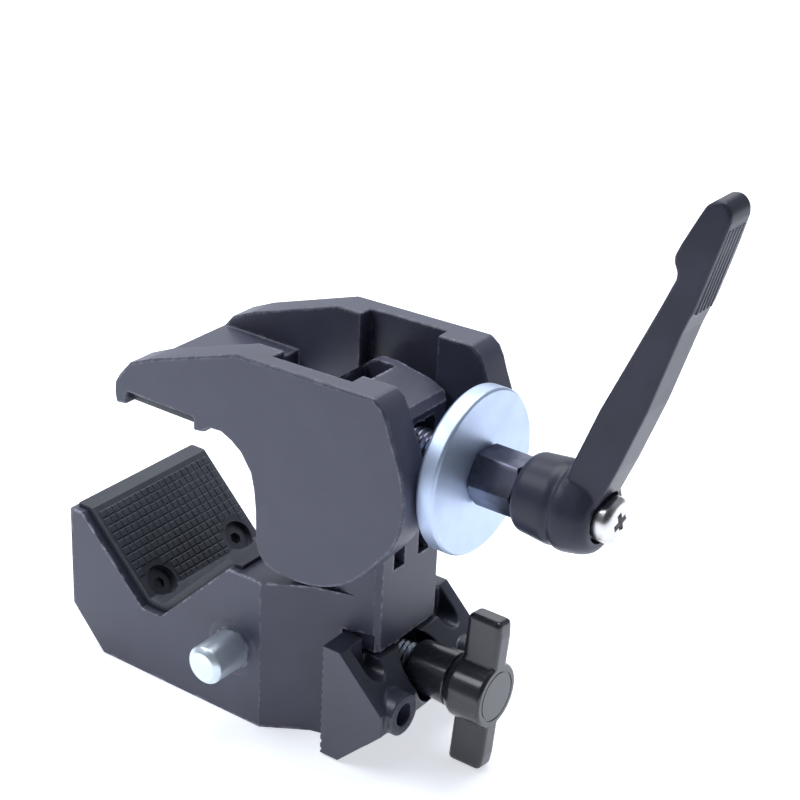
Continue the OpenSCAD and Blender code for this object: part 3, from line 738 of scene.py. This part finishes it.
def make_ridge_rule():
    """Row of round ridges side by side, such as the finger grip of the lever."""
    rule = Rule("finger_ridges", [("Count", WHOLE), ("Step", VECTOR), ("Start", VECTOR), ("End", VECTOR),
                                  ("Thick", FLOAT)])
    row = rule.node("GeometryNodeMeshLine", {
        "Count": rule.value("Count"), "Start Location": rule.value("Start"), "Offset": rule.value("Step")})
    reach = rule.node("ShaderNodeVectorMath", {0: rule.value("End"), 1: rule.value("Start")},
                      operation="SUBTRACT")
    line = rule.node("GeometryNodeCurvePrimitiveLine", {"End": reach.outputs[0]})
    ring = rule.node("GeometryNodeCurvePrimitiveCircle", {"Resolution": 10, "Radius": rule.value("Thick")})
    bar = rule.node("GeometryNodeCurveToMesh", {
        "Curve": line.outputs[0], "Profile Curve": ring.outputs[0], "Fill Caps": True})
    rows = rule.node("GeometryNodeInstanceOnPoints", {
        "Points": row.outputs["Mesh"], "Instance": bar.outputs[0]})
    return rule.end(rows.outputs[0])


THREAD = make_thread_rule()
COIL = make_coil_rule()
STUDS = make_field_rule()
RIDGES = make_ridge_rule()


# ---------------------------------------------------------------- castings

def merged_copy(node, name):
    """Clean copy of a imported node: doubles merged and flat faces made whole."""
    mesh = NODES[node].data.copy()
    bm = bmesh.new()
    bm.from_mesh(mesh)
    bmesh.ops.remove_doubles(bm, verts=bm.verts, dist=2e-6)
    bmesh.ops.dissolve_limit(bm, angle_limit=math.radians(0.6), verts=bm.verts, edges=bm.edges,
                             delimit={"NORMAL"})
    bm.to_mesh(mesh)
    bm.free()
    mesh.materials.clear()
    return new_piece(name, mesh)


def build_castings():
    fixed = bevel(merged_copy("jaw_body", "fixed_jaw_casting"), 0.7, 3, 28)
    finish_piece(even_normals(shade(fixed)), "fixed_jaw", "cast_coated", CAST, "jaw_body")
    hinged = bevel(merged_copy("upper_jaw", "hinged_jaw_casting"), 0.6, 3, 28)
    finish_piece(even_normals(shade(hinged)), "hinged_jaw", "cast_coated", CAST, "upper_jaw")
    wedge = melted(merged_copy("wedge_insert", "wedge_moulding"), 0.24, 4)
    finish_piece(shade(wedge, 50), "wedge", "wedge_black", WEDGE, "wedge_insert")


# ---------------------------------------------------------------- grip pads

PAD_T = 2.0
PAD_LIP = 1.0
PAD_LIP_L = 2.6
STUD_PITCH = 1.9
STUD_HEIGHT = 0.24
STUD_FOOT_SHARE = 0.7
STUD_TOP_SHARE = 0.5
V_FLOOR = 5.6
PAD_HOLE_IN = 3.5
LOWER_HOLE_X = -37.3
LOWER_HOLE_Z = 20.5
NO_HOLES = [(0, 0, 0), (0, 0, 0)]


def stud_field(name, corner_a, corner_b, y_low, y_high, lean, holes, clear):
    """Studs on a flat face that runs from one [x, z] corner to another, square to Y."""
    a, b = Vector((corner_a[0], 0, corner_a[1])), Vector((corner_b[0], 0, corner_b[1]))
    centre = (a + b) / 2
    centre.y = (y_low + y_high) / 2
    length, width = (b - a).length, y_high - y_low
    turn = Matrix.Rotation(lean, 3, "Y")
    local = [turn.transposed() @ (Vector(hole) - centre) * MM for hole in holes]
    for hole in local:
        hole.z = 0
    return STUDS.apply(
        empty_mesh(name), PAD, Length=length * MM, Width=width * MM,
        Rows=int(length / STUD_PITCH) + 1, Columns=int(width / STUD_PITCH) + 1,
        Foot=STUD_PITCH * STUD_FOOT_SHARE * MM, Top=STUD_PITCH * STUD_TOP_SHARE * MM,
        Height=STUD_HEIGHT * MM,
        Hole_A=local[0], Hole_B=local[1], Clear=clear * MM,
        Turned=Vector((0, lean, 0)), Place=centre * MM)


def build_lower_pad():
    x0, x1 = span("lower_pad", 0)
    y0, y1 = span("lower_pad", 1)
    z0, z1 = span("lower_pad", 2)
    front_in, shoulder_x, shoulder_z = x0 + PAD_LIP_L, x1 - PAD_LIP_L, z1 - PAD_LIP
    v_right = shoulder_x - (shoulder_z - z0)
    v_left = v_right - V_FLOOR
    front_tip = z0 + (v_left - front_in)
    off = PAD_T * math.sqrt(2)
    hole_y = span("lower_pad_screws", 1)[1] - PAD_HOLE_IN
    holes = [(LOWER_HOLE_X, -hole_y, LOWER_HOLE_Z), (LOWER_HOLE_X, hole_y, LOWER_HOLE_Z)]
    body = bevel(merged_copy("lower_pad", "lower_pad_body"), 0.4, 3, 30)
    front = stud_field("front_studs", (front_in + off + 0.6, front_tip - 0.6),
                       (v_left + off - 2.2, z0 + 2.2), y0 + 1.6, y1 - 1.6, math.radians(45), holes, 5.0)
    rear = stud_field("rear_studs", (v_right - off + 2.2, z0 + 2.2),
                      (shoulder_x - off - 0.6, shoulder_z - 0.6), y0 + 1.6, y1 - 1.6, math.radians(-45),
                      NO_HOLES, 0.1)
    pad = joined("lower_grip_pad", [body, front, rear])
    finish_piece(shade(pad, 30), "fixed_jaw", "grip_pad", PAD, "lower_pad")


def build_upper_pad():
    x0, x1 = span("upper_pad", 0)
    y0, y1 = span("upper_pad", 1)
    low = span("upper_pad", 2)[0]
    hole_x = middle("upper_pad_screws", 0)
    hole_y = span("upper_pad_screws", 1)[1] - PAD_HOLE_IN
    body = bevel(merged_copy("upper_pad", "upper_pad_body"), 0.25, 2, 30)
    studs = stud_field("upper_studs", (x0 + 1.4, low), (x1 - 1.4, low), y0 + 1.5, y1 - 1.5, math.pi,
                       [(hole_x, -hole_y, low), (hole_x, hole_y, low)], 4.5)
    pad = joined("upper_grip_pad", [body, studs])
    finish_piece(shade(pad, 30), "hinged_jaw", "grip_pad", PAD, "upper_pad")


# ---------------------------------------------------------------- turned pieces

WASHER_BORE_R = 5.15
WASHER_CORNER = 0.5
RINGS_PER_TURN = 8
SPINDLE_R = 5.0
SPINDLE_PITCH = 1.5
SPINDLE_THREAD_DEPTH = 0.55
SPINDLE_HEX = 11.5
HEX_CHAMFER = 0.9
NECK_R = 3.5
TAPPED_R = 2.5
SCREW_HEAD_R = 4.92
RECESS_SIZE = (4.0, 1.5, 6.0)
RECESS_TAPER = 0.45
RECESS_TURN = 18
PIN_R = 4.5
PIN_COLLAR_L = 2.0
PIN_FLAT_SIZE = (9, 13, 18)
PIN_FLAT_X = 0.4
PIN_FLAT_Y = -19
HINGE_R = 3.97
SLEEVE_BORE_R = 4.15
WING_SCREW_R = 4.0
WING_SCREW_PITCH = 1.25
WING_THREAD_DEPTH = 0.5
COIL_TURNS = 4.5
LEVER_COIL_R = 4.55
LEVER_COIL_WIRE = 0.9
PIN_COIL_R = 4.2
PIN_COIL_WIRE = 0.7


def build_washer():
    x0, x1 = span("thrust_washer", 0)
    low, high = span("thrust_washer", 2)
    radius = (high - low) / 2
    bore, edge = WASHER_BORE_R, WASHER_CORNER
    line = [(x0, bore + 0.3), (x0, radius - edge), (x0 + edge, radius), (x1 - edge, radius),
            (x1, radius - edge), (x1, bore + 0.4), (x1 - 0.4, bore), (x0 + 0.3, bore), (x0, bore + 0.3)]
    line = rounded_profile(line, {2: 0.3, 3: 0.3})
    disc = lathe("thrust_washer_turned", line, "X", (0, 0, SPINDLE_Z), 160)
    finish_piece(shade(disc, 30), "washer", "steel_bright", WASHER, "thrust_washer")


def threaded_bar(name, x0, x1, radius, pitch, depth, centre_z, finish, thread_from, thread_to, steps=56):
    rings = int((x1 - x0) / (pitch / RINGS_PER_TURN))
    body = [(x0 + (x1 - x0) * k / rings, radius) for k in range(rings + 1)]
    line = [(x0, 0), (x0, radius * 0.8), (x0 + radius * 0.14, radius), *body[4:-1], (x1, radius), (x1, 0)]
    bar = lathe(name, line, "X", (0, 0, centre_z), steps)
    return THREAD.apply(bar, finish, Pitch=pitch * MM, Depth=depth * MM,
                        Centre=Vector((0, 0, centre_z)) * MM, From=thread_from * MM, To=thread_to * MM)


def hexagon_bar(name, x0, x1, across_flats, centre_z, chamfer):
    radius = across_flats / 2 / math.cos(math.radians(30))
    bm = bmesh.new()
    for x in (x0, x1):
        for k in range(6):
            a = math.radians(60 * k)
            bm.verts.new((x, radius * math.cos(a), centre_z + radius * math.sin(a)))
    verts = list(bm.verts)
    bm.faces.new(verts[:6])
    bm.faces.new(verts[6:])
    for k in range(6):
        bm.faces.new((verts[k], verts[(k + 1) % 6], verts[6 + (k + 1) % 6], verts[6 + k]))
    bmesh.ops.recalc_face_normals(bm, faces=bm.faces)
    bar = bevel(from_bmesh(name, bm), 0.25, 2, 20)
    line = [(x0, 0), (x0, across_flats / 2), (x0 + chamfer, radius + 0.1), (x1 - chamfer, radius + 0.1),
            (x1, across_flats / 2), (x1, 0)]
    return cut(bar, lathe("hexagon_turning", line, "X", (0, 0, centre_z), 72), "INTERSECT")


def build_spindle():
    x0, x1 = span("spindle", 0)
    washer_end = span("thrust_washer", 0)[1]
    hub_start = span("lever", 0)[0]
    screw_start = span("lever_screw", 0)[0]
    thread = threaded_bar("spindle_thread", x0, washer_end + 0.5, SPINDLE_R, SPINDLE_PITCH,
                          SPINDLE_THREAD_DEPTH, SPINDLE_Z, STEEL, x0 + 0.2, washer_end - 5)
    hexagon = hexagon_bar("spindle_hexagon", washer_end, hub_start - 0.3, SPINDLE_HEX, SPINDLE_Z,
                          HEX_CHAMFER)
    neck = lathe("spindle_neck", [(hub_start - 0.5, 0), (hub_start - 0.5, NECK_R), (x1 - 0.4, NECK_R),
                                  (x1, 3.1), (x1, TAPPED_R), (screw_start - 0.4, TAPPED_R),
                                  (screw_start - 0.4, 0)],
                 "X", (0, 0, SPINDLE_Z), 48)
    whole = joined("spindle_turned", [thread, hexagon, neck])
    finish_piece(shade(whole, 28), "spindle_set", "steel_dark", STEEL, "spindle")


def build_lever_screw():
    x0, x1 = span("lever_screw", 0)
    neck_end = span("spindle", 0)[1]
    line = [(x0, 0), (x0, 2.1), (x0 + 0.4, TAPPED_R), (neck_end, TAPPED_R), (neck_end, SCREW_HEAD_R),
            (x1 - 1.1, SCREW_HEAD_R), (x1 - 0.25, 4.1), (x1, 2.2), (x1, 0)]
    head = lathe("lever_screw_head", rounded_profile(line, {5: 0.8, 6: 0.8, 7: 1.2}, 6), "X",
                 (0, 0, SPINDLE_Z), 72)
    for turn in (0, 90):
        bm = block(RECESS_SIZE)
        for vert in bm.verts:
            if vert.co.x < 0:
                vert.co.z *= RECESS_TAPER
        spin = Matrix.Rotation(math.radians(turn + RECESS_TURN), 4, "X")
        place = Matrix.Translation((x1 - 0.2, 0, SPINDLE_Z)) @ spin
        bmesh.ops.transform(bm, matrix=place, verts=bm.verts)
        cut(head, from_bmesh("recess", bm))
    finish_piece(shade(head, 32), "spindle_set", "steel_nickel", NICKEL, "lever_screw")


def build_release_pin():
    y0, y1 = span("release_pin", 1)
    x = middle("release_pin", 0)
    low, high = span("release_pin", 2)
    collar = (high - low) / 2
    line = [(y0, 0), (y0, 3.3), (y0 + 0.25, 3.7), (y0 + 0.9, PIN_R), (y1 - PIN_COLLAR_L, PIN_R),
            (y1 - PIN_COLLAR_L, collar - 0.3), (y1 - 1.7, collar), (y1 - 0.3, collar), (y1, collar - 0.3),
            (y1, 0)]
    pin = lathe("release_pin_turned", rounded_profile(line, {2: 0.3, 3: 0.4}), "Y", (x, 0, PIN_Z), 96)
    bm = block(PIN_FLAT_SIZE)
    flat_middle = (x + PIN_FLAT_X + PIN_FLAT_SIZE[0] / 2, PIN_FLAT_Y + PIN_FLAT_SIZE[1] / 2, PIN_Z)
    bmesh.ops.translate(bm, vec=flat_middle, verts=bm.verts)
    cut(pin, from_bmesh("pin_flat", bm))
    finish_piece(shade(pin, 32), "stud_pin", "steel_bright", ZINC_PIN, "release_pin")


def build_pivot_pin():
    y0, y1 = span("pivot_pin", 1)
    x, z = middle("pivot_pin", 0), middle("pivot_pin", 2)
    line = [(y0, 0), (y0, 3.5), (y0 + 0.45, HINGE_R), (y1 - 0.45, HINGE_R), (y1, 3.5), (y1, 1.4),
            (y1 - 0.7, 0)]
    pin = lathe("hinge_pin_turned", line, "Y", (x, 0, z), 64)
    finish_piece(shade(pin, 30), "fixed_jaw", "steel_bright", ZINC, "pivot_pin")


def build_sleeve():
    x0, x1 = span("wing_sleeve", 0)
    line = [(x0, SLEEVE_BORE_R), (x0, 4.9), (x0 + 0.7, 5.55), (x1 - 0.25, 6.18), (x1, 5.95),
            (x1, SLEEVE_BORE_R), (x0, SLEEVE_BORE_R)]
    tube = lathe("wing_sleeve_turned", rounded_profile(line, {1: 0.3, 2: 0.5}), "X", (0, 0, SCREW_Z), 80)
    finish_piece(shade(tube, 30), "sleeve", "wing_black", WING, "wing_sleeve")


def build_wing_screw():
    x0, x1 = span("wing_screw", 0)
    screw = threaded_bar("wing_screw_threaded", x0, x1, WING_SCREW_R, WING_SCREW_PITCH, WING_THREAD_DEPTH,
                         SCREW_Z, ZINC, x0 + 0.2, span("wing_sleeve", 0)[1], 48)
    finish_piece(shade(screw, 28), "wing", "steel_bright", ZINC, "wing_screw")


def build_springs():
    x0, x1 = span("lever_spring", 0)
    coil = COIL.apply(empty_mesh("lever_spring_wound"), SPRING, Turns=COIL_TURNS,
                      Radius=LEVER_COIL_R * MM, Length=(x1 - x0 - 0.95) * MM, Wire=LEVER_COIL_WIRE * MM,
                      Turned=Vector((0, math.radians(90), 0)),
                      Place=Vector((x0 + 0.47, 0, SPINDLE_Z)) * MM)
    finish_piece(shade(coil, 60), "spindle_set", "spring_steel", SPRING, "lever_spring")
    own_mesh(coil)
    y0, y1 = span("pin_spring", 1)
    x = middle("pin_spring", 0)
    coil = COIL.apply(empty_mesh("pin_spring_wound"), SPRING, Turns=COIL_TURNS,
                      Radius=PIN_COIL_R * MM, Length=(y1 - y0 - 0.75) * MM, Wire=PIN_COIL_WIRE * MM,
                      Turned=Vector((math.radians(-90), 0, 0)),
                      Place=Vector((x, y0 + 0.37, PIN_Z)) * MM)
    finish_piece(shade(coil, 60), "fixed_jaw", "spring_steel", SPRING, "pin_spring")
    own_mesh(coil)


# ---------------------------------------------------------------- lever and wing

def melted(obj, voxel, passes):
    """Blends joined shapes into one soft die-cast or moulded skin."""
    mod = obj.modifiers.new("skin", "REMESH")
    mod.mode = "VOXEL"
    mod.voxel_size = voxel * MM
    mod.use_smooth_shade = True
    settle(obj)
    mod = obj.modifiers.new("soften", "SMOOTH")
    mod.factor = 0.5
    mod.iterations = passes
    return settle(obj)


LEVER_FRONT = [(61.6, 80.6), (66.4, 93.6), (77.0, 118.2), (79.2, 123.6), (79.35, 125.0), (78.55, 126.6),
               (78.45, 128.0), (79.4, 130.4), (82.2, 136.4), (83.2, 138.4), (84.6, 139.5)]
LEVER_REAR = [(86.2, 139.9), (87.4, 139.3), (88.3, 137.9), (88.3, 136.2), (86.9, 130.8), (85.2, 124.6),
              (83.4, 118.2), (82.6, 116.4), (81.5, 113.4), (76.3, 95.8), (71.4, 82), (68.6, 75)]

TAPER_Z = 126
LEVER_TOP_Z = 140
TIP_TAPER = 0.22
LEVER_HALF_T = 4.8
HUB_END = 67.4
HUB_STEP = 9.1
HUB_BORE = [(55.2, 6.8), (55.2, 3.58), (58.2, 3.58), (58.2, 5.65)]
GRIP_START = (82.9, -2.7, 117.6)
GRIP_END = (87.4, -2.7, 134.6)
GRIP_RIDGES = 5
GRIP_STEP = 1.35
GRIP_R = 0.62


def build_lever():
    x0, _ = span("lever", 0)
    step = x0 + HUB_STEP
    hub_line = [(x0, 0), (x0, 7.3), (x0 + 1.1, 8.4), (step - 1.2, 9.1), (step, 8.75), (step + 0.5, 8.7),
                (step + 1.0, 9.25), (step + 2.4, 9.3), (HUB_END - 2.2, 8.6), (HUB_END - 0.6, 7.7),
                (HUB_END, 6.7), (HUB_END, 0)]
    hub = lathe("lever_hub", rounded_profile(hub_line, {1: 0.6, 2: 1.5, 3: 0.9, 7: 1.0, 8: 1.2}), "X",
                (0, 0, SPINDLE_Z), 120)
    outline = [(59.6, 70), *LEVER_FRONT, *LEVER_REAR, (67.6, 72.5), (67.2, 70)]
    arm = slab("lever_arm", outline, -LEVER_HALF_T, LEVER_HALF_T)
    arm = bevel(arm, 2.3, 6, 30)
    lever = melted(joined("lever_casting", [hub, arm]), 0.3, 5)
    for vert in lever.data.vertices:
        rise = max(0.0, vert.co.z / MM - TAPER_Z) / (LEVER_TOP_Z - TAPER_Z)
        vert.co.y *= 1 - TIP_TAPER * rise * rise
    room, seat = HUB_BORE[0][1], HUB_BORE[-1][1]
    bore = lathe("lever_bore", [(x0 - 1, 0), (x0 - 1, room), *HUB_BORE, (HUB_END + 3, seat),
                                (HUB_END + 3, 0)], "X", (0, 0, SPINDLE_Z), 96)
    cut(lever, bore)
    ridges = RIDGES.apply(empty_mesh("finger_grip"), LEVER, Count=GRIP_RIDGES,
                          Step=Vector((0, GRIP_STEP, 0)) * MM, Start=Vector(GRIP_START) * MM,
                          End=Vector(GRIP_END) * MM, Thick=GRIP_R * MM)
    finish_piece(shade(joined("lever_handle_casting", [lever, ridges]), 40), "lever_handle", "lever_black",
                 LEVER, "lever")


WING_LEAN = -8
WING_HALF_T = 2.6
WING_HUB_R = 7.35
WING_BORE_R = 4.05
BLADE_X = 37.5
BLADE_REACH = 17.5


def build_wing():
    x0, x1 = span("wing_handle", 0)
    line = [(x0, 0), (x0, 5.9), (x0 + 0.25, 6.25), (x0 + 2.0, WING_HUB_R), (x1 - 0.5, WING_HUB_R),
            (x1, 6.9), (x1, 0)]
    hub = lathe("wing_hub", line, "X", (0, 0, 0), 96)
    outline = [(BLADE_X, -BLADE_REACH), (x1 - 0.4, -BLADE_REACH), (x1, -14), (x1, 14),
               (x1 - 0.4, BLADE_REACH), (BLADE_X, BLADE_REACH)]
    blade = bevel(slab("wing_blades", outline, -WING_HALF_T, WING_HALF_T), 1.1, 4, 30)
    wing = melted(joined("wing_moulding", [hub, blade]), 0.22, 5)
    well = lathe("wing_ring", [(x1 - 0.16, 5.45), (x1 - 0.16, 5.8), (x1 + 1, 5.8), (x1 + 1, 5.45),
                               (x1 - 0.16, 5.45)], "X", (0, 0, 0), 96)
    cut(wing, well)
    bore = lathe("wing_bore", [(x0 - 1, 0), (x0 - 1, WING_BORE_R), (x1 - 2.5, WING_BORE_R), (x1 - 2.5, 0)],
                 "X", (0, 0, 0), 64)
    cut(wing, bore)
    place = Matrix.Translation((0, 0, SCREW_Z * MM)) @ Matrix.Rotation(math.radians(WING_LEAN), 4, "X")
    wing.data.transform(place)
    finish_piece(shade(wing, 40), "wing", "wing_black", WING, "wing_handle")


def paint_packed_nodes():
    finishes = {
        "lower_pad_screws": BLACK_OXIDE, "upper_pad_screws": BLACK_OXIDE, "trunnion_nut": BLACK_OXIDE,
        "pin_plug": BLACK_OXIDE, "ratchet_gear": BLACK_OXIDE, "spring_seat": ZINC, "wedge_pegs": ZINC,
    }
    for node, mat in finishes.items():
        mesh = NODES[node].data
        if not mesh.materials:
            mesh.materials.append(mat)
        for place in range(len(mesh.materials)):
            mesh.materials[place] = mat


build_stage()
build_lights()
build_camera()
paint_packed_nodes()
build_castings()
build_lower_pad()
build_upper_pad()
build_washer()
build_spindle()
build_lever_screw()
build_release_pin()
build_pivot_pin()
build_sleeve()
build_wing_screw()
build_springs()
build_lever()
build_wing()
